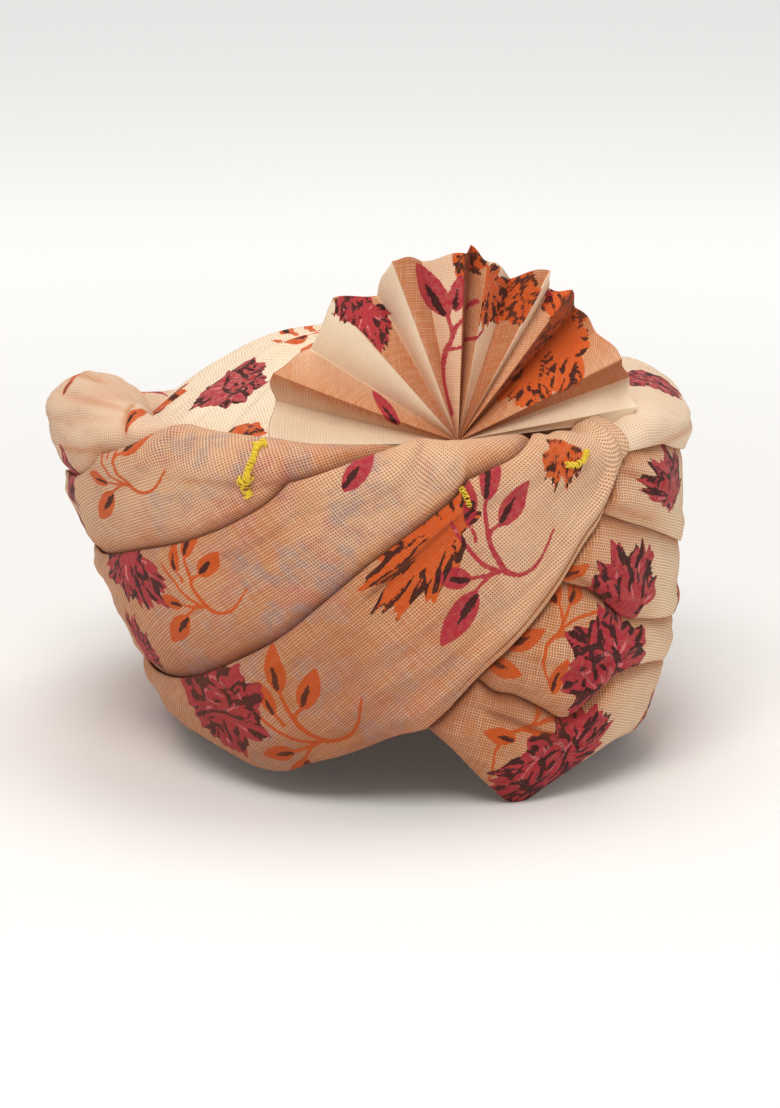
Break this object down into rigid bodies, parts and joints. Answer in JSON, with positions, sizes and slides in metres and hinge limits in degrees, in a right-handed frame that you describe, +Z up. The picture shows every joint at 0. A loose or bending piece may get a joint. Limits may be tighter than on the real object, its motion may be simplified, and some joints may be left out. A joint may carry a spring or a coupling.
{
  "type": "tied turban pagri",
  "caption": "Ready-tied cloth turban: a hollow wound ring dressed with lapped slanting pleats, a puffed top roll, a closed crown and a pleated fan standing at the front.",
  "frame": {"origin": "middle of the whole turban's box, on the plane it rests on", "axes": "+Z up, -Y towards the front with its notch and fan, +X towards the viewer's right when seen from the front"},
  "size_m": [0.2694, 0.2826, 0.2198],
  "materials": {
    "wrap_cloth": "matt wound gauze",
    "pale_cloth": "matt cream gauze with a floral print",
    "pleat_cloth": "matt beige gauze with a floral print",
    "fan_cloth": "stiffened pleated gauze with a floral print"
  },
  "bodies": {
    "root": {"inner_wrap": "wrap_cloth", "crown_cloth": "pale_cloth", "wing_roll": "pale_cloth", "left_pleat_upper": "pleat_cloth", "left_pleat_middle": "pleat_cloth", "front_panel": "pleat_cloth", "right_top_fold": "pale_cloth", "right_roll": "pleat_cloth", "right_pleat_upper": "pleat_cloth", "right_pleat_middle": "pleat_cloth", "right_pleat_lower": "pleat_cloth", "turra_fan": "fan_cloth"}
  },
  "joints": []
}
